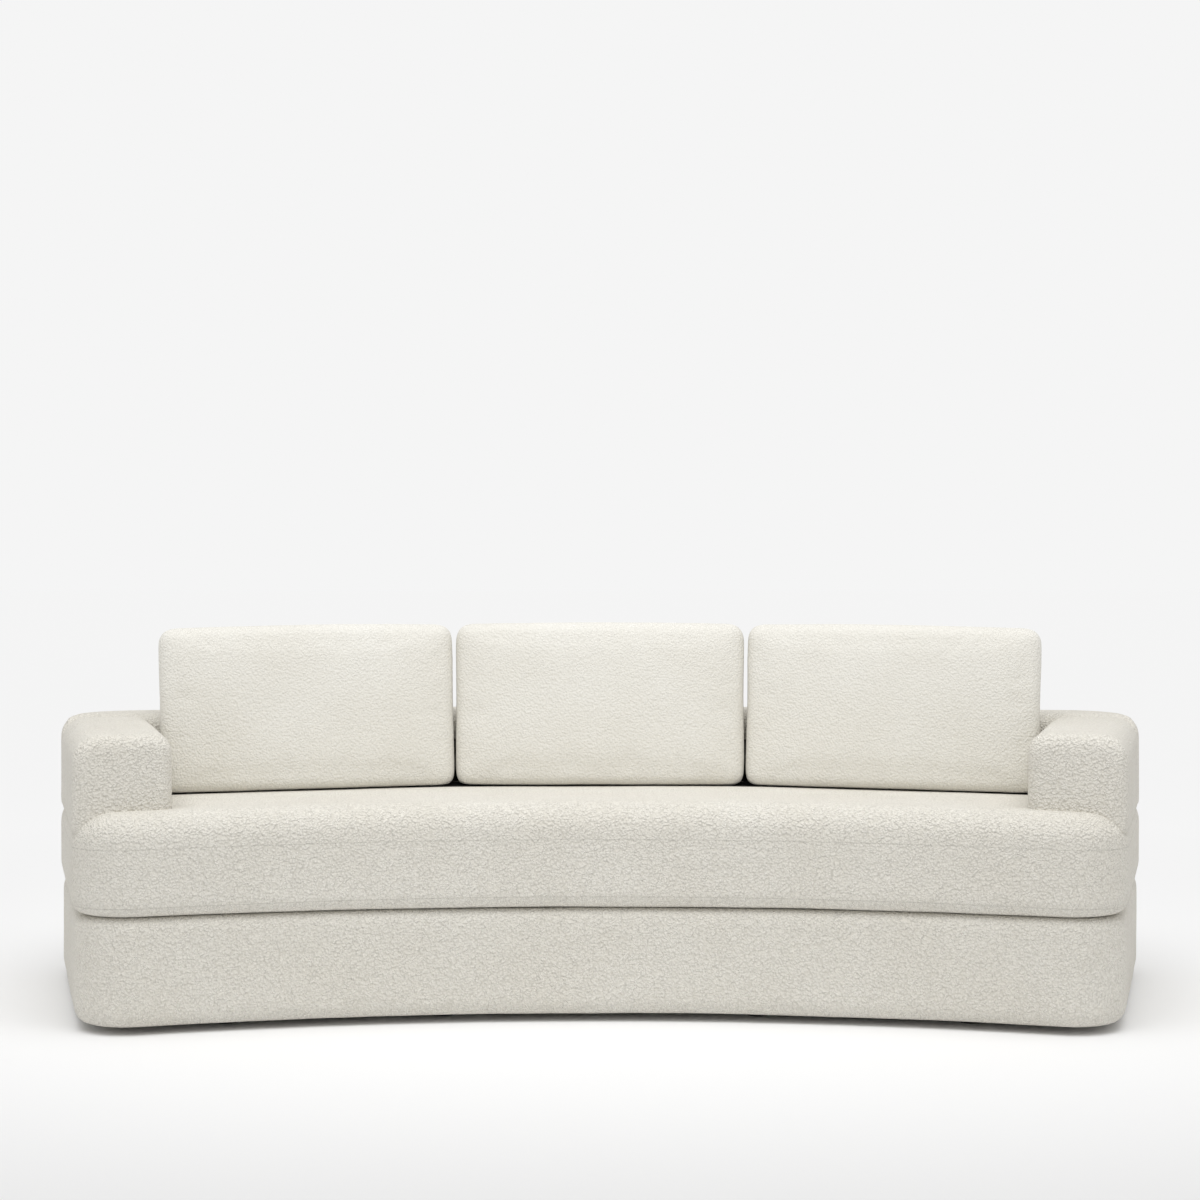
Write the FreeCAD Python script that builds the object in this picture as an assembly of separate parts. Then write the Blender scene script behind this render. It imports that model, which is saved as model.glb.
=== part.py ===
import FreeCAD, Part
import os
from math import asin, cos, degrees, radians, sin, sqrt, tan

# Curved three-seat sofa with loose back cushions, in millimetres, +Z up.
# While it is worked out, the origin is the centre of the sofa's curve, on the floor, and +Y runs
# from the front edge to the back. Each piece is moved at the end, so that the finished origin is
# the middle of the sofa's footprint on the floor. The +X side is the sofa's right seen from the front.

# Plan of the whole sofa
front_radius = 3200.0
sofa_depth = 940.0
half_width_at_front = 1140.0
side_splay = 15.5
front_corner_radius = 130.0
rear_corner_radius = 170.0

# Cloth, sheets and clearances
cover_thickness = 3.0
lining_thickness = 1.0
board_gap = 0.5
screw_gap = 0.05
post_gap = 0.5
rest_gap = 0.3

# Upholstered base
glide_height = 18.0
base_floor = 14.0
base_top = 246.0
base_inset = 6.0
base_low_roll = 42.0
base_roll_start = 6.0
base_top_roll = 25.0
wadding_thickness = 22.0
cover_return = 46.0

# Base frame
board_thickness = 18.0
frame_half_angle = 15.0
rib_angles = (-14.0, -10.0, -6.0, -2.0, 2.0, 6.0, 10.0, 14.0)
bolted_angles = (-14.0, -6.0, 6.0, 14.0)
block_width = 45.0
block_height = 60.0

# Glides and their screws
glide_radius = 25.0
glide_from_rail = 70.0
glide_recess_radius = 6.0
glide_recess_depth = 6.0
screw_radius = 2.2
screw_head_radius = 4.2
screw_head_height = 2.6
screw_length = 42.0

# Seat layer
seat_front_height = 475.0
seat_rake = 1.55
seat_crown_radius = 39000.0
seat_top_roll = 62.0
seat_low_roll = 28.0

# Seat frame, straps and deck
seat_rail_inset = 45.0
seat_rail_width = 30.0
seat_rail_height = 62.0
stretcher_angles = (-12.0, -8.0, -4.0, 0.0, 4.0, 8.0, 12.0)
stretcher_lift = 6.0
stretcher_height = 40.0
strap_width = 50.0
strap_thickness = 2.5
strap_overlap = 27.0
strap_half_angle = 13.0
strap_step = 2.0
cross_strap_start = 150.0
cross_strap_step = 150.0
cross_strap_count = 5
deck_gap = 0.2

# Bolts between the seat frame and the base
bolt_radius = 4.0
bolt_head_radius = 7.0
bolt_head_height = 5.3
bolt_grip = 40.0
spacer_radius = 15.0

# Arms
arm_width = 210.0
arm_setback = 74.0
arm_top = 627.0
arm_inner_roll = 42.0
arm_outer_roll = 58.0
arm_front_roll = 32.0
skirt_height = 414.0
arm_frame_front = 28.0
arm_frame_floor = 478.0
arm_frame_top = 600.0
arm_outer_board_inset = 27.0
arm_inner_board_inset = 43.0
arm_frame_end_gap = 8.0
arm_post_length = 45.0
arm_post_places = (130.0, 440.0)

# Back shell
back_top = 630.0
back_thickness = 230.0
back_roll = 50.0
back_frame_inset = 38.0
back_frame_floor = 478.0
back_frame_top = 618.0
back_low_rail_height = 52.0
lining_low = 457.5
lining_high = 560.0
lining_half_angle = 15.5
deck_lining_start = 540.0

# Loose back cushions
cushion_width = 696.0
cushion_height = 388.0
cushion_seam_depth = 150.0
cushion_front = 518.0
cushion_gap = -8.0
cushion_turn = 10.65
cushion_lean = 5.0
cushion_roll = 36.0
cushion_low_roll = 22.0
face_crown_radius = 2700.0
rear_crown_radius = 6000.0
side_crown_radius = 4000.0
top_crown_radius = 15000.0
cushion_names = ("left", "middle", "right")

# Cushion zips, in the bottom panel near its back edge
zip_length = 560.0
zip_slot_width = 16.0
zip_tape_width = 24.0
zip_tape_thickness = 1.2
zip_from_centre = 42.0
slider_length = 14.0
slider_width = 9.0
slider_thickness = 2.0
pull_length = 22.0
pull_width = 6.0
pull_thickness = 0.9
slider_gap = 0.3
slider_end_gap = 6.0

# Values that follow from the ones above
V = FreeCAD.Vector
up = V(0, 0, 1)
curve_centre = V(0, 0, 0)
back_radius = front_radius + sofa_depth
back_inner_radius = back_radius - back_thickness
side_along = V(sin(radians(side_splay)), cos(radians(side_splay)), 0)
side_out = V(cos(radians(side_splay)), -sin(radians(side_splay)), 0)
side_reach = V(half_width_at_front, front_radius, 0).dot(side_out)
frame_inset = base_inset + cover_thickness + wadding_thickness
frame_top = base_top - cover_thickness
seat_frame_low = base_top + cover_thickness
seat_frame_top = seat_frame_low + seat_rail_height
deck_low = seat_frame_top + 2 * strap_thickness
deck_top = deck_low + lining_thickness

# Cutting shapes: a height above everything, and how far a cut runs past a face
tall = 800.0
margin = 1.0
block_margin = 30.0


# Points and outlines

def polar(radius, angle):
    return V(radius * sin(radians(angle)), radius * cos(radians(angle)), 0)


def unit(vector):
    return V(vector).normalize()


def other_side(point):
    return V(-point.x, point.y, point.z)


def corner_centre(reach, corner_radius):
    """Centre of a plan corner: its radius inside the side line, and reach from the curve's centre."""
    across = side_reach - corner_radius
    return side_out * across + side_along * sqrt(reach ** 2 - across ** 2)


front_corner = corner_centre(front_radius + front_corner_radius, front_corner_radius)
rear_corner = corner_centre(back_radius - rear_corner_radius, rear_corner_radius)
foremost = front_corner.y - front_corner_radius
footprint_middle = V(0, (foremost + back_radius) / 2, 0)


def arc(start, middle, end):
    return Part.Arc(start, middle, end).toShape()


def outline(inset):
    """The sofa's plan, moved inwards: concave front, two splayed sides, convex back, round corners."""
    front_turn = front_corner_radius - inset
    rear_turn = rear_corner_radius - inset
    front_end = unit(front_corner) * (front_radius + inset)
    side_front = front_corner + side_out * front_turn
    side_rear = rear_corner + side_out * rear_turn
    back_end = unit(rear_corner) * (back_radius - inset)
    front_middle = front_corner + unit(side_out - unit(front_corner)) * front_turn
    rear_middle = rear_corner + unit(side_out + unit(rear_corner)) * rear_turn
    edges = [
        arc(other_side(front_end), V(0, front_radius + inset, 0), front_end),
        arc(front_end, front_middle, side_front),
        Part.makeLine(side_front, side_rear),
        arc(side_rear, rear_middle, back_end),
        arc(back_end, V(0, back_radius - inset, 0), other_side(back_end)),
        arc(other_side(back_end), other_side(rear_middle), other_side(side_rear)),
        Part.makeLine(other_side(side_rear), other_side(side_front)),
        arc(other_side(side_front), other_side(front_middle), other_side(front_end)),
    ]
    return Part.Face(Part.Wire(edges))


# Plain solids

def prism(inset, low, high):
    face = outline(inset)
    face.translate(up * low)
    return face.extrude(up * (high - low))


def sector(inner, outer, half_angle, low, high):
    """A curved board or sheet: a stretch of ring about the curve's centre."""
    left, right = -half_angle, half_angle
    edges = [
        arc(polar(inner, left), polar(inner, 0), polar(inner, right)),
        Part.makeLine(polar(inner, right), polar(outer, right)),
        arc(polar(outer, right), polar(outer, 0), polar(outer, left)),
        Part.makeLine(polar(outer, left), polar(inner, left)),
    ]
    face = Part.Face(Part.Wire(edges))
    face.translate(up * low)
    return face.extrude(up * (high - low))


def disc(radius, low, high):
    return Part.makeCylinder(radius, high - low, V(0, 0, low))


def board(angle, inner, outer, width, low, high, offset=0.0):
    """A straight board along a radius of the curve; offset moves it sideways."""
    shape = Part.makeBox(width, outer - inner, high - low, V(offset - width / 2, inner, low))
    shape.rotate(curve_centre, up, -angle)
    return shape


def side_box(inner, outer, start, end, low, high):
    """A box square to the right side line: inner and outer are insets from that line."""
    shape = Part.makeBox(inner - outer, end - start, high - low, V(side_reach - inner, start, low))
    shape.rotate(curve_centre, up, -side_splay)
    return shape


def curved_strap(angle, inner, outer, low, high):
    """A strap laid flat against a curved board."""
    shape = sector(inner, outer, degrees(asin(strap_width / 2 / inner)), low, high)
    shape.rotate(curve_centre, up, -angle)
    return shape


def mirrored(shape):
    return shape.mirror(curve_centre, V(1, 0, 0))


def peg(point, radius, low, high):
    return Part.makeCylinder(radius, high - low, V(point.x, point.y, low))


def level_edges(shape, low, high):
    """Edges that lie wholly between two heights."""
    return [e for e in shape.Edges if e.BoundBox.ZMin > low and e.BoundBox.ZMax < high]


def without(shape, tools):
    for tool in tools:
        shape = shape.cut(tool)
    return shape


# Upholstered forms, each drawn as its outer skin moved inwards by an inset

def base_form(inset):
    low = base_roll_start + inset
    shape = prism(base_inset + inset, low, base_top - inset)
    top_edges = level_edges(shape, base_top - inset - margin, base_top + margin)
    shape = shape.makeFillet(base_top_roll - inset, top_edges)
    shape = shape.makeFillet(base_low_roll - inset, level_edges(shape, low - margin, low + margin))
    return shape.cut(disc(back_radius, 0, base_floor))


def seat_crown(inset):
    """Everything under the seat's top: a very wide arch that falls a little to the back."""
    rake = radians(seat_rake)
    run = V(0, cos(rake), -sin(rake))
    rise = V(0, sin(rake), cos(rake))
    top = V(0, front_radius, seat_front_height) - rise * inset - run * sofa_depth
    radius = seat_crown_radius - inset
    half = 2 * half_width_at_front
    edge = rise * (sqrt(radius ** 2 - half ** 2) - radius)
    left, right = top + edge - V(half, 0, 0), top + edge + V(half, 0, 0)
    edges = [
        arc(left, top, right),
        Part.makeLine(right, right - rise * tall),
        Part.makeLine(right - rise * tall, left - rise * tall),
        Part.makeLine(left - rise * tall, left),
    ]
    return Part.Face(Part.Wire(edges)).extrude(run * sofa_depth * 3)


def seat_form(inset):
    low = base_top + inset
    shape = prism(inset, low, tall).common(seat_crown(inset))
    shape = shape.makeFillet(seat_top_roll - inset, level_edges(shape, low + seat_low_roll, tall))
    return shape.makeFillet(seat_low_roll - inset, level_edges(shape, low - margin, low + margin))


def seat_place(x, y):
    """Point on the seat's crown over a place in plan, and the crown's own direction there."""
    rake = radians(seat_rake)
    rise = V(0, sin(rake), cos(rake))
    drop = seat_crown_radius - sqrt(seat_crown_radius ** 2 - x ** 2)
    height = seat_front_height - (y - front_radius) * tan(rake) - drop / cos(rake)
    facing = V(x / seat_crown_radius, 0, 0) + rise * sqrt(1 - (x / seat_crown_radius) ** 2)
    return V(x, y, height), facing


arm_inner_across = side_reach - arm_width
arm_front = sqrt(front_radius ** 2 - arm_inner_across ** 2) + arm_setback


def arm_form(inset):
    """The right arm: a block with rolls along its inner and outer top edges and round its front."""
    inner = arm_inner_across + inset
    outer = side_reach - inset
    start = arm_front + inset
    top = arm_top - inset
    inner_roll = arm_inner_roll - inset
    outer_roll = arm_outer_roll - inset
    slant = sqrt(0.5)

    def at(across, height):
        return V(across, start, height)

    outer_mid = at(outer - outer_roll * (1 - slant), top - outer_roll * (1 - slant))
    inner_mid = at(inner + inner_roll * (1 - slant), top - inner_roll * (1 - slant))
    edges = [
        Part.makeLine(at(inner, skirt_height), at(outer, skirt_height)),
        Part.makeLine(at(outer, skirt_height), at(outer, top - outer_roll)),
        arc(at(outer, top - outer_roll), outer_mid, at(outer - outer_roll, top)),
        Part.makeLine(at(outer - outer_roll, top), at(inner + inner_roll, top)),
        arc(at(inner + inner_roll, top), inner_mid, at(inner, top - inner_roll)),
        Part.makeLine(at(inner, top - inner_roll), at(inner, skirt_height)),
    ]
    shape = Part.Face(Part.Wire(edges)).extrude(V(0, sofa_depth, 0))
    on_face = [e for e in shape.Edges if e.BoundBox.YMax < start + margin]
    front = [e for e in on_face if e.BoundBox.ZMax > skirt_height + margin]
    shape = shape.makeFillet(arm_front_roll - inset, front)
    shape.rotate(curve_centre, up, -side_splay)
    shape = shape.common(disc(back_inner_radius - inset, 0, tall))
    return shape.cut(raised_seat(inset))


def back_form(inset):
    """The back shell: the rear of the plan, behind a curve that follows the sofa's own."""
    top = back_top - inset
    shape = prism(inset, skirt_height, top).cut(disc(back_inner_radius + inset, 0, tall))
    shape = shape.makeFillet(back_roll - inset, level_edges(shape, top - margin, top + margin))
    return shape.cut(raised_seat(inset))


def raised_seat(lift):
    shape = seat_form(0.0)
    shape.translate(up * lift)
    return shape


# Posts and ribs that stand on the seat frame and carry the arms and the back

def arm_post_boxes(gap):
    inner = seat_rail_inset + seat_rail_width + gap
    outer = seat_rail_inset - gap
    low = seat_frame_top - gap
    high = arm_frame_top - board_thickness + gap
    starts = [arm_front + place for place in arm_post_places]
    ends = [start + arm_post_length + gap for start in starts]
    return [side_box(inner, outer, s - gap, e, low, high) for s, e in zip(starts, ends)]


def rib_feet(gap):
    inner = back_radius - seat_rail_inset - seat_rail_width - gap
    outer = back_radius - seat_rail_inset + gap
    width = board_thickness + 2 * gap
    return [board(a, inner, outer, width, seat_frame_top, back_frame_floor) for a in rib_angles]


def post_holes():
    right = arm_post_boxes(post_gap)
    return right + [mirrored(p) for p in right] + rib_feet(post_gap)


# Base

def base_cover():
    opening = prism(base_inset + cover_return, frame_top - margin, base_top + margin)
    return without(base_form(0.0), [base_form(cover_thickness), opening])


def base_wadding():
    return base_form(cover_thickness).cut(prism(frame_inset, 0, tall))


def frame_ring(inset, width, low, high):
    return prism(inset, low, high).cut(prism(inset + width, low - margin, high + margin))


def end_rail(inset, width, low, high):
    """The right end of a frame: a bent board round both corners."""
    middle = sector(front_radius - tall, back_radius + tall, frame_half_angle, low - margin, high + margin)
    ends = frame_ring(inset, width, low, high).cut(middle)
    return [s for s in ends.Solids if s.CenterOfMass.x > 0][0]


def base_low():
    return glide_height + lining_thickness


def base_front_rail():
    inner = front_radius + frame_inset
    return sector(inner, inner + board_thickness, frame_half_angle, base_low(), frame_top)


def base_back_rail():
    outer = back_radius - frame_inset
    return sector(outer - board_thickness, outer, frame_half_angle, base_low(), frame_top)


def cross_span():
    inner = front_radius + frame_inset + board_thickness
    outer = back_radius - frame_inset - board_thickness - board_gap
    return inner, outer


def base_cross_rails():
    inner, outer = cross_span()
    rails = [board(a, inner, outer, board_thickness, base_low(), frame_top) for a in rib_angles]
    holes = [peg(p, screw_radius + screw_gap, 0, glide_height + screw_length) for p in glide_places()]
    return Part.makeCompound([without(rail, holes) for rail in rails])


def block_offset(angle):
    """A corner block lies against the side of its cross rail that faces the middle."""
    side = -1 if angle > 0 else 1
    return side * (board_thickness + block_width) / 2


def bolt_place(angle, radius):
    return polar(radius, angle) + polar(block_offset(angle), angle + 90)


def bolt_places():
    front = front_radius + seat_rail_inset + seat_rail_width / 2
    back = back_radius - seat_rail_inset - seat_rail_width / 2
    return [bolt_place(a, r) for a in bolted_angles for r in (front, back)]


def corner_blocks():
    inner, outer = cross_span()
    low = frame_top - block_height
    blocks = []
    for angle in bolted_angles:
        offset = block_offset(angle)
        blocks.append(board(angle, inner, inner + block_width, block_width, low, frame_top, offset))
        blocks.append(board(angle, outer - block_width, outer, block_width, low, frame_top, offset))
    holes = [peg(p, bolt_radius + screw_gap, low, frame_top) for p in bolt_places()]
    return Part.makeCompound([without(block, holes) for block in blocks])


def dust_cover():
    holes = [peg(p, screw_radius + screw_gap, 0, frame_top) for p in glide_places()]
    return without(prism(frame_inset, glide_height, base_low()), holes)


def glide_places():
    inner, outer = cross_span()
    radii = (inner + glide_from_rail, outer - glide_from_rail)
    return [polar(r, a) for a in bolted_angles for r in radii]


def glide_feet():
    feet = []
    for place in glide_places():
        foot = peg(place, glide_radius, 0, glide_height)
        foot = foot.cut(peg(place, glide_recess_radius, 0, glide_recess_depth))
        feet.append(foot.cut(peg(place, screw_radius + screw_gap, 0, glide_height)))
    return Part.makeCompound(feet)


def glide_screws():
    screws = []
    for place in glide_places():
        head = peg(place, screw_head_radius, glide_recess_depth - screw_head_height, glide_recess_depth)
        shank = peg(place, screw_radius, glide_recess_depth, glide_recess_depth + screw_length)
        screws.append(head.fuse(shank).removeSplitter())
    return Part.makeCompound(screws)


# Seat frame, straps and deck

def bolt_recesses():
    low = seat_frame_top - bolt_head_height
    heads = [peg(p, bolt_head_radius + board_gap, low, tall) for p in bolt_places()]
    shanks = [peg(p, bolt_radius + screw_gap, 0, tall) for p in bolt_places()]
    return heads + shanks


def seat_front_rail():
    inner = front_radius + seat_rail_inset
    rail = sector(inner, inner + seat_rail_width, frame_half_angle, seat_frame_low, seat_frame_top)
    return without(rail, bolt_recesses())


def seat_back_rail():
    outer = back_radius - seat_rail_inset
    rail = sector(outer - seat_rail_width, outer, frame_half_angle, seat_frame_low, seat_frame_top)
    return without(rail, bolt_recesses())


def seat_stretchers():
    edge = seat_rail_inset + seat_rail_width
    low = seat_frame_low + stretcher_lift
    inner, outer = front_radius + edge, back_radius - edge - board_gap
    high = low + stretcher_height
    stretchers = [board(a, inner, outer, seat_rail_width, low, high) for a in stretcher_angles]
    return Part.makeCompound(stretchers)


def seat_straps():
    inner = front_radius + seat_rail_inset + seat_rail_width - strap_overlap
    outer = back_radius - seat_rail_inset - seat_rail_width + strap_overlap
    high = seat_frame_top + strap_thickness
    count = int(2 * strap_half_angle / strap_step) + 1
    angles = [strap_step * i - strap_half_angle for i in range(count)]
    return Part.makeCompound([board(a, inner, outer, strap_width, seat_frame_top, high) for a in angles])


def seat_cross_straps():
    low = seat_frame_top + strap_thickness
    sheet = prism(seat_rail_inset + seat_rail_width - strap_overlap, low, low + strap_thickness)
    straps = []
    for i in range(cross_strap_count):
        start = front_radius + cross_strap_start + i * cross_strap_step
        strap = sheet.common(disc(start + strap_width, 0, tall)).cut(disc(start, 0, tall))
        straps.append(without(strap, post_holes()))
    return Part.makeCompound(straps)


def deck_cloth():
    edge = seat_rail_inset + seat_rail_width - strap_overlap
    return without(prism(edge, deck_low, deck_top), post_holes())


def seat_foam():
    cavity = prism(seat_rail_inset, 0, deck_top + deck_gap)
    return without(seat_form(cover_thickness), [cavity] + post_holes())


def seat_cover():
    opening = prism(base_inset + cover_return, base_top - margin, seat_frame_low + margin)
    return without(seat_form(0.0), [seat_form(cover_thickness), opening] + post_holes())


def seat_bolts():
    bolts = []
    for place in bolt_places():
        head_low = seat_frame_top - bolt_head_height
        head = peg(place, bolt_head_radius, head_low, seat_frame_top)
        shank = peg(place, bolt_radius, frame_top - bolt_grip, head_low)
        bolts.append(head.fuse(shank).removeSplitter())
    return Part.makeCompound(bolts)


def seat_spacers():
    opening = prism(base_inset + cover_return + board_gap, frame_top, seat_frame_low)
    spacers = []
    for place in bolt_places():
        spacer = peg(place, spacer_radius, frame_top, seat_frame_low)
        spacer = spacer.cut(peg(place, bolt_radius + screw_gap, frame_top, seat_frame_low))
        spacers.append(spacer.common(opening))
    return Part.makeCompound(spacers)


# Arms, drawn for the right side

def arm_frame_end():
    reach = back_inner_radius - arm_frame_end_gap
    return sqrt(reach ** 2 - (side_reach - arm_outer_board_inset) ** 2)


def arm_outer_panel():
    outer = arm_outer_board_inset
    start = arm_front + arm_frame_front
    high = arm_frame_top - board_thickness
    return side_box(outer + board_thickness, outer, start, arm_frame_end(), arm_frame_floor, high)


def arm_inner_panel():
    inner = arm_width - arm_inner_board_inset
    start = arm_front + arm_frame_front
    high = arm_frame_top - board_thickness
    return side_box(inner, inner - board_thickness, start, arm_frame_end(), arm_frame_floor, high)


def arm_top_board():
    inner = arm_width - arm_inner_board_inset
    start = arm_front + arm_frame_front
    low = arm_frame_top - board_thickness
    return side_box(inner, arm_outer_board_inset, start, arm_frame_end(), low, arm_frame_top)


def arm_front_board():
    inner = arm_width - arm_inner_board_inset - board_thickness
    outer = arm_outer_board_inset + board_thickness
    start = arm_front + arm_frame_front
    high = arm_frame_top - board_thickness
    return side_box(inner, outer, start, start + board_thickness, arm_frame_floor, high)


def arm_posts():
    return Part.makeCompound(arm_post_boxes(0.0))


def arm_foam():
    inner = arm_width - arm_inner_board_inset
    start = arm_front + arm_frame_front
    end = arm_frame_end() + board_gap
    cavity = side_box(inner, arm_outer_board_inset, start, end, arm_frame_floor, arm_frame_top)
    return without(arm_form(cover_thickness), [cavity] + arm_post_boxes(post_gap))


def arm_cover():
    return without(arm_form(0.0), [arm_form(cover_thickness)] + arm_post_boxes(post_gap))


# Back shell

def back_ribs():
    front = back_inner_radius + back_frame_inset + board_thickness
    back = back_radius - seat_rail_inset - screw_gap
    foot_front = back - seat_rail_width
    high = back_frame_top - board_thickness
    ribs = []
    for angle in rib_angles:
        panel = board(angle, front, back, board_thickness, back_frame_floor, high)
        foot = board(angle, foot_front, back, board_thickness, seat_frame_top, back_frame_floor)
        ribs.append(panel.fuse(foot).removeSplitter())
    return Part.makeCompound(ribs)


def back_top_rail():
    front = back_inner_radius + back_frame_inset
    low = back_frame_top - board_thickness
    return sector(front, back_radius - seat_rail_inset, frame_half_angle, low, back_frame_top)


def back_low_rail():
    front = back_inner_radius + back_frame_inset
    high = back_frame_floor + back_low_rail_height
    return sector(front, front + board_thickness - board_gap, frame_half_angle, back_frame_floor, high)


def back_webbing():
    back = back_inner_radius + back_frame_inset
    front = back - strap_thickness
    count = int(2 * strap_half_angle / strap_step) + 1
    angles = [strap_step * i - strap_half_angle for i in range(count)]
    low, high = back_frame_floor + board_gap, back_frame_top - board_gap
    return Part.makeCompound([curved_strap(a, front, back, low, high) for a in angles])


def back_foam():
    front = back_inner_radius + back_frame_inset - strap_thickness - board_gap
    back = back_radius - seat_rail_inset
    cavity = sector(front, back, frame_half_angle, back_frame_floor, back_frame_top)
    return without(back_form(cover_thickness), [cavity] + rib_feet(post_gap))


def back_cover():
    return without(back_form(0.0), [back_form(cover_thickness)] + rib_feet(post_gap))


def back_lining():
    return sector(back_inner_radius - lining_thickness, back_inner_radius, lining_half_angle, lining_low,
                  lining_high)


def deck_lining():
    """Black cloth on the seat, under and behind the cushions."""
    inner = front_radius + deck_lining_start
    outer = back_inner_radius - lining_thickness - board_gap
    region = sector(inner, outer, lining_half_angle, 0, tall)
    return raised_seat(lining_thickness).cut(seat_form(0.0)).common(region)


# Loose back cushions, drawn upright about the middle of their bottom panel, front towards -Y

def ball(radius, centre):
    return Part.makeSphere(radius, centre)


def cushion_form(inset):
    half = cushion_width / 2 - inset
    depth = cushion_seam_depth / 2 - inset
    middle = cushion_height / 2
    sag = sqrt(half ** 2 + middle ** 2)
    front_crown = face_crown_radius - sqrt(face_crown_radius ** 2 - sag ** 2)
    rear_crown = rear_crown_radius - sqrt(rear_crown_radius ** 2 - sag ** 2)
    top_crown = top_crown_radius - sqrt(top_crown_radius ** 2 - half ** 2)
    reach = depth + front_crown + rear_crown
    start = V(-half - block_margin, -reach, -cushion_height / 2)
    block = Part.makeBox(2 * (half + block_margin), 2 * reach, 2 * cushion_height, start)
    front_centre = V(0, face_crown_radius - depth - front_crown, middle)
    rear_centre = V(0, depth + rear_crown - rear_crown_radius, middle)
    top_centre = V(0, 0, cushion_height - inset - top_crown_radius)
    block = block.common(ball(face_crown_radius, front_centre))
    block = block.common(ball(rear_crown_radius, rear_centre))
    block = block.common(ball(top_crown_radius, top_centre))
    for side in (-1, 1):
        block = block.common(ball(side_crown_radius, V(side * (half - side_crown_radius), 0, middle)))
    block.rotate(V(0, 0, 0), V(1, 0, 0), -cushion_lean)
    floor = Part.makeBox(4 * half, 4 * half, 2 * cushion_height, V(-2 * half, -2 * half, inset))
    block = block.common(floor)
    upper = [e for e in block.Edges if e.BoundBox.ZMax >= inset + margin]
    block = block.makeFillet(cushion_roll - inset, upper)
    low = level_edges(block, inset - margin, inset + margin)
    return block.makeFillet(cushion_low_roll - inset, low)


def cushion_cover():
    slot = zip_box(zip_length, zip_slot_width, -margin, cover_thickness + margin)
    return without(cushion_form(0.0), [cushion_form(cover_thickness), slot])


def cushion_fill():
    high = cover_thickness + zip_tape_thickness + slider_gap
    pocket = zip_box(zip_length + zip_slot_width, zip_tape_width, 0, high)
    return cushion_form(cover_thickness).cut(pocket)


def zip_box(length, width, low, high):
    return Part.makeBox(length, width, high - low, V(-length / 2, zip_from_centre - width / 2, low))


def zip_tape():
    low, high = cover_thickness, cover_thickness + zip_tape_thickness
    return zip_box(zip_length + zip_slot_width, zip_tape_width, low, high)


def zip_slider():
    """Slider and flat pull, at the left end of the zip."""
    start = slider_end_gap - zip_length / 2
    high = cover_thickness - slider_gap
    low = high - slider_thickness
    body = Part.makeBox(slider_length, slider_width, slider_thickness,
                        V(start, zip_from_centre - slider_width / 2, low))
    pull = Part.makeBox(pull_length, pull_width, pull_thickness,
                        V(start + slider_length, zip_from_centre - pull_width / 2, low))
    return body.fuse(pull).removeSplitter()


def cushion_placement(index):
    """Where a cushion stands: the outer ones hinge about the front corners of the middle one."""
    side = index - 1
    turn = side * cushion_turn
    along = V(cos(radians(turn)), -sin(radians(turn)), 0)
    inward = V(sin(radians(turn)), cos(radians(turn)), 0)
    front = V(side * (cushion_width + cushion_gap) / 2, front_radius + cushion_front, 0)
    centre = front + along * side * (cushion_width + cushion_gap) / 2 + inward * cushion_seam_depth / 2
    point, facing = seat_place(centre.x, centre.y)
    point = point + facing * (lining_thickness + rest_gap)
    across = unit(along - facing * along.dot(facing))
    back = facing.cross(across)
    matrix = FreeCAD.Matrix(across.x, back.x, facing.x, point.x,
                            across.y, back.y, facing.y, point.y,
                            across.z, back.z, facing.z, point.z,
                            0, 0, 0, 1)
    return FreeCAD.Placement(matrix)


def placed(shape, index):
    piece = shape.copy()
    piece.Placement = cushion_placement(index).multiply(piece.Placement)
    return piece


def write(name, shape):
    piece = shape.copy()
    piece.translate(footprint_middle * -1)
    piece.exportStep("parts/" + name + ".step")


def write_pair(name, shape):
    write(name + "_right", shape)
    write(name + "_left", mirrored(shape))


os.makedirs("parts", exist_ok=True)

write("base_front_rail", base_front_rail())
write("base_back_rail", base_back_rail())
write_pair("base_end_rail", end_rail(frame_inset, board_thickness, base_low(), frame_top))
write("base_cross_rails", base_cross_rails())
write("base_corner_blocks", corner_blocks())
write("base_wadding", base_wadding())
write("base_cover", base_cover())
write("dust_cover", dust_cover())
write("glide_feet", glide_feet())
write("glide_screws", glide_screws())

write("seat_front_rail", seat_front_rail())
write("seat_back_rail", seat_back_rail())
seat_end_rail = end_rail(seat_rail_inset, seat_rail_width, seat_frame_low, seat_frame_top)
write_pair("seat_end_rail", seat_end_rail)
write("seat_stretchers", seat_stretchers())
write("seat_straps", seat_straps())
write("seat_cross_straps", seat_cross_straps())
write("seat_bolts", seat_bolts())
write("seat_spacers", seat_spacers())
write("deck_cloth", deck_cloth())
write("seat_foam", seat_foam())
write("seat_cover", seat_cover())

write_pair("arm_outer_panel", arm_outer_panel())
write_pair("arm_inner_panel", arm_inner_panel())
write_pair("arm_top_board", arm_top_board())
write_pair("arm_front_board", arm_front_board())
write_pair("arm_posts", arm_posts())
write_pair("arm_foam", arm_foam())
write_pair("arm_cover", arm_cover())

write("back_ribs", back_ribs())
write("back_top_rail", back_top_rail())
write("back_low_rail", back_low_rail())
write("back_webbing", back_webbing())
write("back_foam", back_foam())
write("back_cover", back_cover())
write("back_lining", back_lining())
write("deck_lining", deck_lining())

cushion_pieces = {
    "cushion_cover": cushion_cover(),
    "cushion_fill": cushion_fill(),
    "cushion_zip": zip_tape(),
    "cushion_zip_slider": zip_slider(),
}
for piece_name, piece_shape in cushion_pieces.items():
    for number, cushion_name in enumerate(cushion_names):
        write(piece_name + "_" + cushion_name, placed(piece_shape, number))
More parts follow.
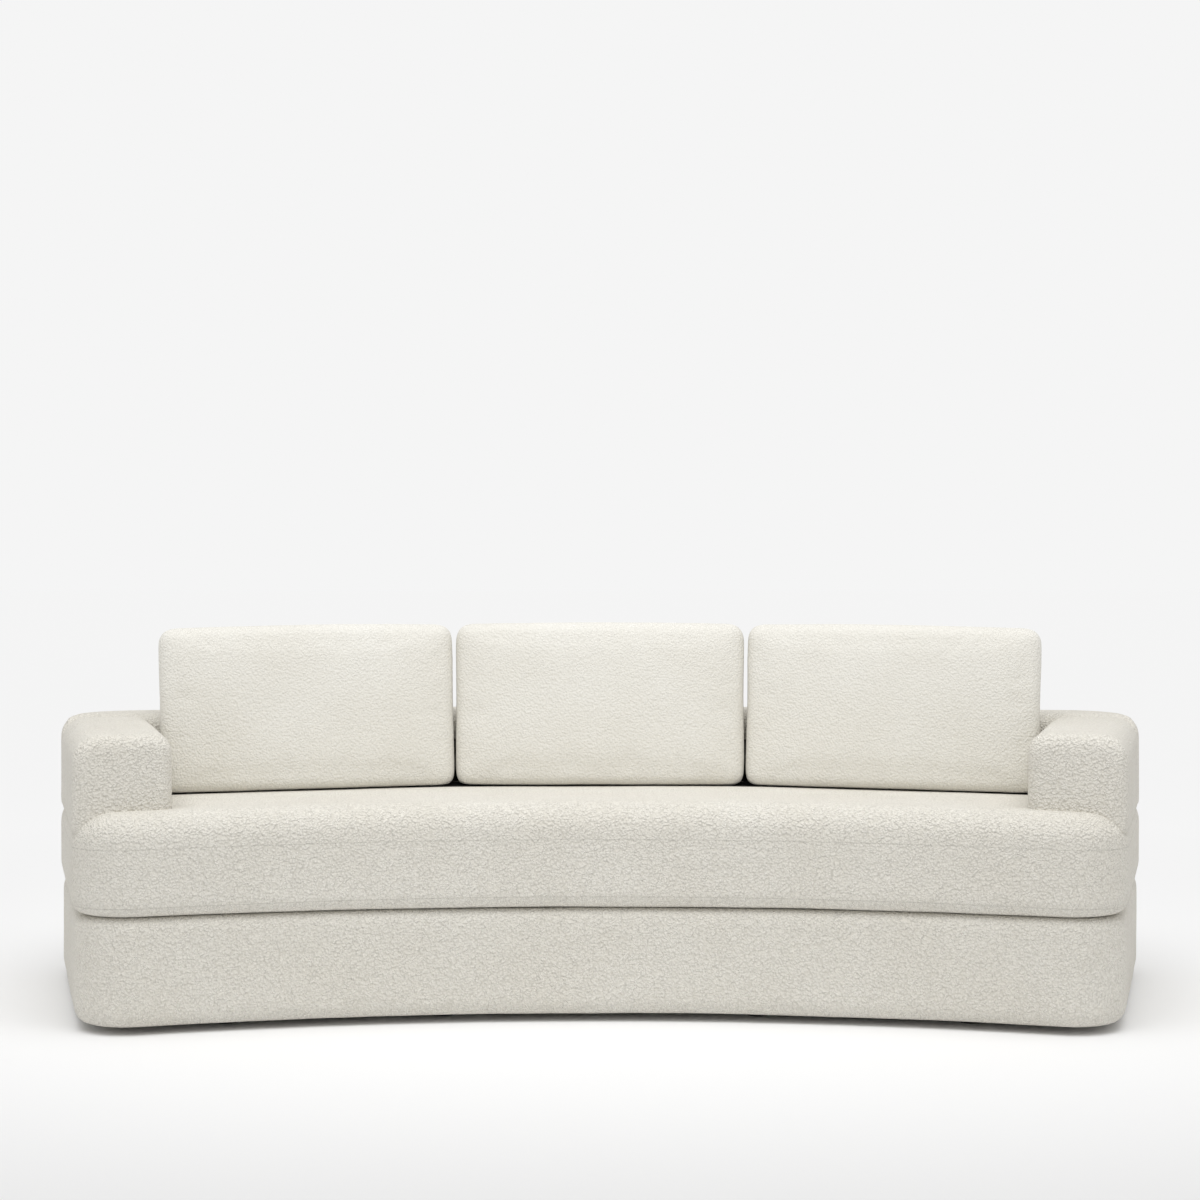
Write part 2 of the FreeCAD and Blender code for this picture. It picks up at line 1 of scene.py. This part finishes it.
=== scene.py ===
import bpy
from math import atan2, cos, pi, radians, sin, sqrt, tan
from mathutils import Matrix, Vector


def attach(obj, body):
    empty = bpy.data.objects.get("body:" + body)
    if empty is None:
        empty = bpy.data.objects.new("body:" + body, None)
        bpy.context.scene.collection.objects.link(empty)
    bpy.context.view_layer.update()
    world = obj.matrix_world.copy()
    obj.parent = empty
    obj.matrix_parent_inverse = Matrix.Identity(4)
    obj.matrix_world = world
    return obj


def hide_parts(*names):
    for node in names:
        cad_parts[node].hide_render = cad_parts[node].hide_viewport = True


# Curved three-seat sofa with loose back cushions. Metres, Z up, origin at the middle of the footprint.

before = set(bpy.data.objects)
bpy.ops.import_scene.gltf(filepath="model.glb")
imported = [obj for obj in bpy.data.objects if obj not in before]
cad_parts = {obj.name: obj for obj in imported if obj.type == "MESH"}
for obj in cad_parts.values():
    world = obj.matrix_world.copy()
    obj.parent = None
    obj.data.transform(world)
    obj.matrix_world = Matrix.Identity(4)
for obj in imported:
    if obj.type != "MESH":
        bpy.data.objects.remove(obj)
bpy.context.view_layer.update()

# Plan, measured from the centre of the sofa's curve
CENTRE = Vector((0, -3.593365, 0))
FRONT_RADIUS = 3.200
DEPTH = 0.940
BACK_RADIUS = FRONT_RADIUS + DEPTH
HALF_FRONT = 1.140
SPLAY = radians(15.5)
FRONT_CORNER = 0.130
REAR_CORNER = 0.170
SIDE_OUT = Vector((cos(SPLAY), -sin(SPLAY), 0))
SIDE_ALONG = Vector((sin(SPLAY), cos(SPLAY), 0))
SIDE_REACH = HALF_FRONT * cos(SPLAY) - FRONT_RADIUS * sin(SPLAY)

# Levels and rolls
BASE_LOW = 0.0145
BASE_TOP = 0.246
BASE_INSET = 0.006
SEAT_FRONT = 0.475
SEAT_RAKE = radians(1.55)
SEAT_CROWN = 39.0
SEAT_ROLL = 0.062
SEAT_FOOT_ROLL = 0.028
BASE_TOP_ROLL = 0.025
BASE_FOOT_ROLL = 0.030
BACK_ROLL = 0.050
ARM_WIDTH = 0.210
ARM_INNER_ROLL = 0.042
ARM_OUTER_ROLL = 0.058
ARM_FRONT_ROLL = 0.032
ARM_REAR_TUCK = 0.006
ARM_SETBACK = 0.074
ARM_TOP = 0.627
SKIRT = 0.414
BACK_TOP = 0.630
BACK_THICKNESS = 0.230
BACK_INNER = BACK_RADIUS - BACK_THICKNESS

# Camera, level, in front of the sofa
CAMERA_PLACE = (0.0, -5.1434, 0.960)
CAMERA_LENS = 66.27
CAMERA_SHIFT = -0.01925

# Sewn lines on the seat front
SEAT_SEAMS = (0.395, 0.272)
SEAM_HALF_WIDTH = 0.0011
SEAM_COLOUR = (0.67, 0.645, 0.58)

# Grids that the covers are remade on, and the unevenness of a stuffed form
LARGE_GRID = 0.009
ARM_GRID = 0.007
CUSHION_GRID = 0.009
SEAT_GIVE = 0.0025
ARM_GIVE = 0.0020
CUSHION_GIVE = 0.0016

# Cushions: growth from the fill to the cover, then the cloth under pressure
CUSHION_TURN = radians(10.65)
COVER_GROWTH = 0.0053
CUSHION_START = 0.006
CUSHION_PRESSURE = 4
CUSHION_FRAMES = 20
CUSHION_CAP = 0.004
CUSHION_FLARE = 0.0055
CUSHION_FOOT = 0.6
FLARE_REACH = 0.30

# Recess in a cushion's bottom panel, measured from the middle of its zip
ZIP_REACH = 0.300
ZIP_HALF_WIDTH = 0.016
ZIP_EASE = 0.012
ZIP_COVERING = 0.0014
ZIP_DEPTH = 0.02

# Cloth colours: the lit top of a knot, and the hollow between knots
BODY_KNOT = (0.860, 0.832, 0.765)
BODY_HOLLOW = (0.725, 0.697, 0.628)
# The cushion pair is the same cloth as the body, painted lighter: painted light on the cushions.
CUSHION_KNOT = (0.838, 0.821, 0.768)
CUSHION_HOLLOW = (0.792, 0.774, 0.717)
BODY_RELIEF = 0.95
CUSHION_RELIEF = 0.45
KNOT_SCALE = 195.0
KNOT_HEIGHT = 0.0045

# Floor and lights
# The floor runs from a darker colour in front of the sofa to a lighter one far behind it: painted shade that
# evens out the stronger lamp light on the floor in front.
FLOOR_NEAR = (0.845, 0.845, 0.845)
FLOOR_FAR = (0.985, 0.985, 0.985)
BACKDROP = (0.913, 0.913, 0.913, 1)
WORLD_STRENGTH = 0.58
SUN_STRENGTH = 1.10
PANEL_POWER = 8.5

SIDES = ("left", "middle", "right")


# Working by hand

def deselect():
    if bpy.context.object and bpy.context.object.mode != "OBJECT":
        bpy.ops.object.mode_set(mode="OBJECT")
    bpy.ops.object.select_all(action="DESELECT")


def pick(obj):
    deselect()
    obj.select_set(True)
    bpy.context.view_layer.objects.active = obj


def edit(obj, how="VERT"):
    pick(obj)
    bpy.ops.object.mode_set(mode="EDIT")
    bpy.ops.mesh.select_mode(type=how)


def leave():
    bpy.ops.object.mode_set(mode="OBJECT")


def select_edges(obj, wanted):
    """Selects the edges whose two ends both lie where wanted says."""
    edit(obj, "EDGE")
    bpy.ops.mesh.select_all(action="DESELECT")
    leave()
    points = obj.data.vertices
    for e in obj.data.edges:
        a, b = points[e.vertices[0]].co, points[e.vertices[1]].co
        e.select = wanted(a, b)
    bpy.ops.object.mode_set(mode="EDIT")


def roll(obj, wanted, radius, segments=8):
    select_edges(obj, wanted)
    bpy.ops.mesh.bevel(offset=radius, offset_type="OFFSET", segments=segments, profile=0.5, affect="EDGES")
    leave()


def outward(obj):
    edit(obj)
    bpy.ops.mesh.select_all(action="SELECT")
    bpy.ops.mesh.remove_doubles(threshold=0.00002)
    bpy.ops.mesh.normals_make_consistent(inside=False)
    leave()


def modify(obj, kind, **settings):
    pick(obj)
    modifier = obj.modifiers.new(kind.lower(), kind)
    for key, value in settings.items():
        setattr(modifier, key, value)
    bpy.ops.object.modifier_apply(modifier=modifier.name)


def regrid(obj, size, softness=5):
    modify(obj, "REMESH", mode="VOXEL", voxel_size=size)
    modify(obj, "SMOOTH", factor=0.5, iterations=softness)
    pick(obj)
    bpy.ops.object.shade_smooth()


def turn(steps, angle, centre):
    """Carries the picked point round a centre, anticlockwise seen from above."""
    bpy.ops.mesh.spin(steps=steps, angle=-angle, center=centre, axis=(0, 0, 1))


def corner_centre(reach, radius):
    across = SIDE_REACH - radius
    return SIDE_OUT * across + SIDE_ALONG * sqrt(reach ** 2 - across ** 2)


# Upholstered forms

def plan_block(name, inset, low, high):
    """The plan as a block: half the outline is turned round each curve, mirrored, filled and raised."""
    front = corner_centre(FRONT_RADIUS + FRONT_CORNER, FRONT_CORNER)
    rear = corner_centre(BACK_RADIUS - REAR_CORNER, REAR_CORNER)
    front_turn, rear_turn = atan2(front.x, front.y), atan2(rear.x, rear.y)
    deselect()
    bpy.ops.mesh.primitive_plane_add(size=0.01, location=(0, CENTRE.y + FRONT_RADIUS + inset, low))
    obj = bpy.context.object
    obj.name = name
    bpy.ops.object.transform_apply(location=True, rotation=False, scale=False)
    edit(obj)
    bpy.ops.mesh.select_all(action="SELECT")
    bpy.ops.mesh.merge(type="CENTER")
    turn(44, -front_turn, CENTRE)
    turn(14, pi / 2 - SPLAY + front_turn, CENTRE + front)
    straight = SIDE_ALONG * (rear - front).dot(SIDE_ALONG)
    bpy.ops.mesh.extrude_region_move(TRANSFORM_OT_translate={"value": straight})
    turn(16, pi / 2 + SPLAY - rear_turn, CENTRE + rear)
    turn(52, rear_turn, CENTRE)
    leave()
    modify(obj, "MIRROR", merge_threshold=0.0005)
    edit(obj)
    bpy.ops.mesh.select_all(action="SELECT")
    bpy.ops.mesh.edge_face_add()
    bpy.ops.mesh.extrude_region_move(TRANSFORM_OT_translate={"value": (0, 0, high - low)})
    leave()
    outward(obj)
    return obj


def at_level(z):
    return lambda a, b: abs(a.z - z) < 1e-4 and abs(b.z - z) < 1e-4


def soften(obj, depth, spread):
    """Slight unevenness of a stuffed and covered form."""
    clouds = bpy.data.textures.new(obj.name + "_give", "CLOUDS")
    clouds.noise_scale = spread
    modify(obj, "DISPLACE", texture=clouds, strength=depth, mid_level=0.5, texture_coords="LOCAL")


def smooth_step(value, low, high):
    t = min(max((value - low) / (high - low), 0), 1)
    return t * t * (3 - 2 * t)


def make_base():
    obj = plan_block("base_cloth", BASE_INSET, BASE_LOW, BASE_TOP)
    roll(obj, at_level(BASE_TOP), BASE_TOP_ROLL, 6)
    roll(obj, at_level(BASE_LOW), BASE_FOOT_ROLL, 6)
    regrid(obj, LARGE_GRID)
    soften(obj, SEAT_GIVE, 0.22)
    return obj


def make_seat():
    obj = plan_block("seat_cloth", 0.0, BASE_TOP, SEAT_FRONT)
    roll(obj, at_level(SEAT_FRONT), SEAT_ROLL, 10)
    roll(obj, at_level(BASE_TOP), SEAT_FOOT_ROLL, 6)
    regrid(obj, LARGE_GRID)
    for v in obj.data.vertices:
        back = v.co.y - CENTRE.y - FRONT_RADIUS
        fall = -back * tan(SEAT_RAKE) - v.co.x ** 2 / (2 * SEAT_CROWN)
        v.co.z += fall * smooth_step(v.co.z, 0.30, SKIRT)
    soften(obj, SEAT_GIVE, 0.25)
    return obj


def make_shell():
    obj = plan_block("back_shell_cloth", 0.0, SKIRT, BACK_TOP)
    deselect()
    bpy.ops.mesh.primitive_cylinder_add(vertices=720, radius=BACK_INNER, depth=2, location=CENTRE)
    cutter = bpy.context.object
    modify(obj, "BOOLEAN", operation="DIFFERENCE", solver="EXACT", object=cutter)
    bpy.data.objects.remove(cutter)
    outward(obj)
    roll(obj, at_level(BACK_TOP), BACK_ROLL, 8)
    regrid(obj, LARGE_GRID)
    soften(obj, ARM_GIVE, 0.22)
    return obj


def make_arm(side):
    """A block with rolls along its top edges and round its front, turned to the side line."""
    inner, outer = SIDE_REACH - ARM_WIDTH, SIDE_REACH
    start = sqrt(FRONT_RADIUS ** 2 - inner ** 2) + ARM_SETBACK
    end = sqrt(BACK_INNER ** 2 - outer ** 2) + ARM_REAR_TUCK
    deselect()
    bpy.ops.mesh.primitive_cube_add(size=1, location=((inner + outer) / 2, CENTRE.y + (start + end) / 2,
                                                      (SKIRT + ARM_TOP) / 2))
    obj = bpy.context.object
    obj.name = "arm_cloth_" + side
    obj.scale = (outer - inner, end - start, ARM_TOP - SKIRT)
    bpy.ops.object.transform_apply(location=True, rotation=True, scale=True)
    front = CENTRE.y + start
    on_inner = lambda a, b: at_level(ARM_TOP)(a, b) and max(abs(a.x - inner), abs(b.x - inner)) < 1e-4
    on_outer = lambda a, b: at_level(ARM_TOP)(a, b) and max(abs(a.x - outer), abs(b.x - outer)) < 1e-4
    roll(obj, on_inner, ARM_INNER_ROLL, 8)
    roll(obj, on_outer, ARM_OUTER_ROLL, 10)
    on_front = lambda a, b: max(abs(a.y - front), abs(b.y - front)) < 1e-4 and max(a.z, b.z) > SKIRT + 0.001
    roll(obj, on_front, ARM_FRONT_ROLL, 7)
    edit(obj)
    bpy.ops.mesh.select_all(action="SELECT")
    bpy.ops.transform.rotate(value=SPLAY, orient_axis="Z", center_override=CENTRE)
    leave()
    if side == "left":
        edit(obj)
        bpy.ops.mesh.select_all(action="SELECT")
        bpy.ops.transform.resize(value=(-1, 1, 1), center_override=(0, 0, 0))
        leave()
    outward(obj)
    regrid(obj, ARM_GRID)
    soften(obj, ARM_GIVE, 0.20)
    return obj


def pressed_out(obj):
    """The cover filled from inside: cloth under pressure, kept close to its cut size."""
    cut = [v.co.copy() for v in obj.data.vertices]
    edit(obj)
    bpy.ops.mesh.select_all(action="SELECT")
    bpy.ops.transform.shrink_fatten(value=-CUSHION_START)
    leave()
    pick(obj)
    cloth = obj.modifiers.new("cloth", "CLOTH")
    cloth.settings.use_pressure = True
    cloth.settings.uniform_pressure_force = CUSHION_PRESSURE
    cloth.settings.quality = 5
    cloth.settings.mass = 0.4
    cloth.settings.effector_weights.gravity = 0
    cloth.point_cache.frame_start = 1
    cloth.point_cache.frame_end = CUSHION_FRAMES
    for number in range(1, CUSHION_FRAMES + 1):
        bpy.context.scene.frame_set(number)
    bpy.ops.object.modifier_apply(modifier=cloth.name)
    bpy.context.scene.frame_set(1)
    for v, home in zip(obj.data.vertices, cut):
        moved = v.co - home
        if moved.length > CUSHION_CAP:
            v.co = home + moved.normalized() * CUSHION_CAP


def spread_top(obj, side):
    """A full cushion stands wide at its upper corners, and a little less so at its foot."""
    angle = (SIDES.index(side) - 1) * CUSHION_TURN
    across = Vector((cos(angle), -sin(angle), 0))
    points = [v.co for v in obj.data.vertices]
    middle = (max(p.dot(across) for p in points) + min(p.dot(across) for p in points)) / 2
    low, high = min(p.z for p in points), max(p.z for p in points)
    centre = (low + high) / 2
    for v in obj.data.vertices:
        place = v.co.dot(across) - middle
        share = smooth_step(v.co.z, centre, high) + CUSHION_FOOT * smooth_step(-v.co.z, -centre, -low)
        share *= min(max(place / FLARE_REACH, -1), 1)
        v.co += across * share * CUSHION_FLARE


def open_zip(obj, side):
    """Lifts the bottom panel over the zip, so that the tape and its slider lie in a shallow slot."""
    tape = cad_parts["cushion_zip_" + side]
    flat = max(tape.data.polygons, key=lambda p: p.area)
    facing = flat.normal if flat.normal.z > 0 else -flat.normal
    middle = sum((v.co for v in tape.data.vertices), Vector()) / len(tape.data.vertices)
    angle = (SIDES.index(side) - 1) * CUSHION_TURN
    across = Vector((cos(angle), -sin(angle), 0))
    back = facing.cross(across)
    for v in obj.data.vertices:
        place = v.co - middle
        height = place.dot(facing)
        if -ZIP_DEPTH < height < ZIP_COVERING:
            beside = smooth_step(abs(place.dot(back)), ZIP_HALF_WIDTH, ZIP_HALF_WIDTH + ZIP_EASE)
            past = smooth_step(abs(place.dot(across)), ZIP_REACH, ZIP_REACH + ZIP_EASE)
            v.co += facing * (ZIP_COVERING - height) * (1 - max(beside, past))


def make_cushion(side):
    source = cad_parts["cushion_fill_" + side]
    obj = bpy.data.objects.new("cushion_cloth_" + side, source.data.copy())
    bpy.context.scene.collection.objects.link(obj)
    obj.data.transform(source.matrix_world)
    obj.data.materials.clear()
    outward(obj)
    regrid(obj, CUSHION_GRID, 4)
    edit(obj)
    bpy.ops.mesh.select_all(action="SELECT")
    bpy.ops.transform.shrink_fatten(value=COVER_GROWTH)
    leave()
    pressed_out(obj)
    spread_top(obj, side)
    modify(obj, "SUBSURF", levels=1, render_levels=1)
    soften(obj, CUSHION_GIVE, 0.12)
    open_zip(obj, side)
    return obj


# Materials

def start_material(name):
    material = bpy.data.materials.new(name)
    material.use_nodes = True
    nodes, links = material.node_tree.nodes, material.node_tree.links
    place = nodes.new("ShaderNodeTexCoord")
    return material, nodes, links, nodes["Principled BSDF"], place.outputs["Object"]


def noise(nodes, links, place, scale, detail=3.0):
    node = nodes.new("ShaderNodeTexNoise")
    node.inputs["Scale"].default_value = scale
    node.inputs["Detail"].default_value = detail
    links.new(place, node.inputs["Vector"])
    return node.outputs["Fac"]


def two_colours(nodes, links, factor, first, second, low=0.35, high=0.65):
    ramp = nodes.new("ShaderNodeValToRGB")
    ramp.color_ramp.elements[0].position = low
    ramp.color_ramp.elements[1].position = high
    ramp.color_ramp.elements[0].color = (*first, 1)
    ramp.color_ramp.elements[1].color = (*second, 1)
    links.new(factor, ramp.inputs["Fac"])
    return ramp.outputs["Color"]


def bump(nodes, links, height, strength, distance, under=None):
    node = nodes.new("ShaderNodeBump")
    node.inputs["Strength"].default_value = strength
    node.inputs["Distance"].default_value = distance
    links.new(height, node.inputs["Height"])
    if under:
        links.new(under, node.inputs["Normal"])
    return node.outputs["Normal"]


def seam_lines(nodes, links, place, levels):
    """1 along each sewn line, that follows the seat's low arch, and 0 elsewhere."""
    parts = nodes.new("ShaderNodeSeparateXYZ")
    links.new(place, parts.inputs[0])
    arch = nodes.new("ShaderNodeMath")
    arch.operation = "MULTIPLY"
    links.new(parts.outputs["X"], arch.inputs[0])
    links.new(parts.outputs["X"], arch.inputs[1])
    level = nodes.new("ShaderNodeMath")
    level.operation = "MULTIPLY_ADD"
    links.new(arch.outputs[0], level.inputs[0])
    level.inputs[1].default_value = 0.4 / (2 * SEAT_CROWN)
    links.new(parts.outputs["Z"], level.inputs[2])
    total = None
    for height in levels:
        line = nodes.new("ShaderNodeMath")
        line.operation = "COMPARE"
        links.new(level.outputs[0], line.inputs[0])
        line.inputs[1].default_value = height
        line.inputs[2].default_value = SEAM_HALF_WIDTH
        if total:
            both = nodes.new("ShaderNodeMath")
            both.operation = "MAXIMUM"
            links.new(total, both.inputs[0])
            links.new(line.outputs[0], both.inputs[1])
            total = both.outputs[0]
        else:
            total = line.outputs[0]
    return total


def boucle(name, knot, hollow, relief, seams=()):
    """Nubby cream cloth: looped knots a few millimetres across, with painted light on their tops and painted
    shade between them.
    """
    material, nodes, links, shader, place = start_material(name)
    bent = nodes.new("ShaderNodeVectorMath")
    bent.operation = "MULTIPLY_ADD"
    twist = nodes.new("ShaderNodeTexNoise")
    twist.inputs["Scale"].default_value = 90.0
    links.new(place, twist.inputs["Vector"])
    links.new(twist.outputs["Color"], bent.inputs[0])
    bent.inputs[1].default_value = (0.006, 0.006, 0.006)
    links.new(place, bent.inputs[2])
    knots = nodes.new("ShaderNodeTexVoronoi")
    knots.feature = "SMOOTH_F1"
    knots.inputs["Scale"].default_value = KNOT_SCALE
    knots.inputs["Smoothness"].default_value = 0.35
    links.new(bent.outputs[0], knots.inputs["Vector"])
    body = two_colours(nodes, links, knots.outputs["Distance"], knot, hollow, 0.18, 0.75)
    drift = two_colours(nodes, links, noise(nodes, links, place, 5.0), (0.97, 0.965, 0.955), (1.0, 1.0, 1.0))
    mix = nodes.new("ShaderNodeMix")
    mix.data_type = "RGBA"
    mix.blend_type = "MULTIPLY"
    mix.inputs[0].default_value = 1.0
    links.new(body, mix.inputs[6])
    links.new(drift, mix.inputs[7])
    colour = mix.outputs[2]
    if seams:
        sewn = nodes.new("ShaderNodeMix")
        sewn.data_type = "RGBA"
        sewn.inputs[7].default_value = (*SEAM_COLOUR, 1)
        links.new(seam_lines(nodes, links, place, seams), sewn.inputs[0])
        links.new(colour, sewn.inputs[6])
        colour = sewn.outputs[2]
    links.new(colour, shader.inputs["Base Color"])
    hills = nodes.new("ShaderNodeMath")
    hills.operation = "SUBTRACT"
    hills.inputs[0].default_value = 1.0
    links.new(knots.outputs["Distance"], hills.inputs[1])
    fine = bump(nodes, links, noise(nodes, links, place, 420.0, 2.0), 0.25, 0.0015)
    links.new(bump(nodes, links, hills.outputs[0], relief, KNOT_HEIGHT, fine), shader.inputs["Normal"])
    shader.inputs["Roughness"].default_value = 0.95
    shader.inputs["Specular IOR Level"].default_value = 0.15
    shader.inputs["Sheen Weight"].default_value = 0.12
    shader.inputs["Sheen Roughness"].default_value = 0.6
    return material


def plain(name, first, second, grain, depth, roughness, metal=0.0, stretch=(1, 1, 1)):
    material, nodes, links, shader, place = start_material(name)
    along = nodes.new("ShaderNodeMapping")
    along.inputs["Scale"].default_value = stretch
    links.new(place, along.inputs["Vector"])
    pattern = noise(nodes, links, along.outputs["Vector"], grain, 5.0)
    links.new(two_colours(nodes, links, pattern, first, second), shader.inputs["Base Color"])
    links.new(bump(nodes, links, pattern, 0.3, depth), shader.inputs["Normal"])
    shader.inputs["Roughness"].default_value = roughness
    shader.inputs["Metallic"].default_value = metal
    return material


def dress(obj, material):
    obj.data.materials.clear()
    obj.data.materials.append(material)


# Build

base = make_base()
seat = make_seat()
shell = make_shell()
arms = {side: make_arm(side) for side in ("left", "right")}
cushions = {side: make_cushion(side) for side in SIDES}

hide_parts("base_cover", "base_wadding")
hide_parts("seat_cover", "seat_foam")
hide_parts("back_cover", "back_foam")
for side, arm in arms.items():
    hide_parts("arm_cover_" + side, "arm_foam_" + side)
for side, cushion in cushions.items():
    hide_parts("cushion_cover_" + side, "cushion_fill_" + side)

cream = boucle("cream_boucle", BODY_KNOT, BODY_HOLLOW, BODY_RELIEF)
seat_cream = boucle("cream_boucle_seat", BODY_KNOT, BODY_HOLLOW, BODY_RELIEF, SEAT_SEAMS)
# The cushions take a lighter copy of the body cloth: painted light, not a different fabric.
lit_cushion_cream = boucle("cream_boucle_cushions_painted_light", CUSHION_KNOT, CUSHION_HOLLOW, CUSHION_RELIEF)
for piece in (base, seat, shell, *arms.values()):
    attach(piece, "sofa")
    dress(piece, cream)
dress(seat, seat_cream)
for side, cushion in cushions.items():
    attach(cushion, "cushion_" + side)
    dress(cushion, lit_cushion_cream)

finishes = {
    # Deck, dust cover and back lining get a near-black finish, which shows at the foot of the gaps between
    # the cushions.
    "lining": plain("black_lining", (0.012, 0.011, 0.010), (0.022, 0.020, 0.018), 600, 0.0004, 0.9),
    "wood": plain("birch_board", (0.52, 0.36, 0.20), (0.66, 0.49, 0.30), 14, 0.0004, 0.6, 0.0, (1, 1, 9)),
    "webbing": plain("elastic_webbing", (0.30, 0.26, 0.20), (0.42, 0.37, 0.29), 500, 0.0005, 0.85),
    "steel": plain("zinc_steel", (0.50, 0.50, 0.49), (0.62, 0.62, 0.61), 180, 0.0001, 0.35, 1.0),
    "plastic": plain("black_plastic", (0.020, 0.020, 0.020), (0.032, 0.032, 0.032), 260, 0.0002, 0.45),
    "zip_tape": plain("cream_zip_tape", (0.62, 0.58, 0.50), (0.74, 0.70, 0.62), 700, 0.0003, 0.85),
    "zip_metal": plain("nickel_slider", (0.55, 0.54, 0.52), (0.68, 0.67, 0.65), 300, 0.0001, 0.3, 1.0),
}
kinds = (
    ("cushion_zip_slider", "zip_metal"), ("cushion_zip", "zip_tape"),
    ("deck", "lining"), ("dust_cover", "lining"), ("back_lining", "lining"),
    ("back_webbing", "webbing"), ("seat_straps", "webbing"), ("seat_cross_straps", "webbing"),
    ("seat_bolts", "steel"), ("seat_spacers", "steel"), ("glide_screws", "steel"), ("glide_feet", "plastic"),
)
for name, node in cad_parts.items():
    if not node.hide_render:
        kind = next((k for start, k in kinds if name.startswith(start)), "wood")
        dress(node, finishes[kind])

# Stage

deselect()
bpy.ops.mesh.primitive_plane_add(size=300, location=(0, 0, 0))
floor = bpy.context.object
floor.name = "floor"
floor_material, floor_nodes, floor_links, floor_shader, floor_place = start_material("pale_floor")
# Floor colour fades from dark near the camera to light far off: painted shade against the lamps' brighter
# pool in front of the sofa.
floor_parts = floor_nodes.new("ShaderNodeSeparateXYZ")
floor_run = floor_nodes.new("ShaderNodeMapRange")
floor_run.inputs["From Min"].default_value = -3.0
floor_run.inputs["From Max"].default_value = 4.0
floor_links.new(floor_place, floor_parts.inputs[0])
floor_links.new(floor_parts.outputs["Y"], floor_run.inputs["Value"])
floor_colour = two_colours(floor_nodes, floor_links, floor_run.outputs["Result"],
                           FLOOR_NEAR, FLOOR_FAR, 0.1, 0.9)
floor_links.new(floor_colour, floor_shader.inputs["Base Color"])
floor_shader.inputs["Roughness"].default_value = 1.0
floor_shader.inputs["Specular IOR Level"].default_value = 0.0
dress(floor, floor_material)

world = bpy.data.worlds.new("studio")
bpy.context.scene.world = world
world.use_nodes = True
nodes, links = world.node_tree.nodes, world.node_tree.links
light = nodes["Background"]
light.inputs["Color"].default_value = (1.0, 1.0, 1.0, 1)
light.inputs["Strength"].default_value = WORLD_STRENGTH
seen = nodes.new("ShaderNodeBackground")
seen.inputs["Color"].default_value = BACKDROP
path = nodes.new("ShaderNodeLightPath")
choose = nodes.new("ShaderNodeMixShader")
links.new(path.outputs["Is Camera Ray"], choose.inputs[0])
links.new(light.outputs[0], choose.inputs[1])
links.new(seen.outputs[0], choose.inputs[2])
links.new(choose.outputs[0], nodes["World Output"].inputs["Surface"])

bpy.ops.object.light_add(type="SUN", location=(0, -4, 5), rotation=(radians(12), 0, 0))
sun = bpy.context.object
sun.name = "soft_sky_light"
sun.data.energy = SUN_STRENGTH
sun.data.angle = radians(60)

bpy.ops.object.light_add(type="AREA", location=(0, -1.15, 2.45), rotation=(radians(28), 0, 0))
panel = bpy.context.object
panel.name = "wide_panel_light"
panel.data.shape = "RECTANGLE"
panel.data.size = 3.4
panel.data.size_y = 0.9
panel.data.energy = PANEL_POWER
panel.data.spread = radians(100)

bpy.ops.object.camera_add(location=CAMERA_PLACE, rotation=(pi / 2, 0, 0))
camera = bpy.context.object
camera.name = "camera"
camera.data.sensor_width = 36
camera.data.lens = CAMERA_LENS
camera.data.shift_y = CAMERA_SHIFT
bpy.context.scene.camera = camera
bpy.context.scene.view_settings.view_transform = "Standard"
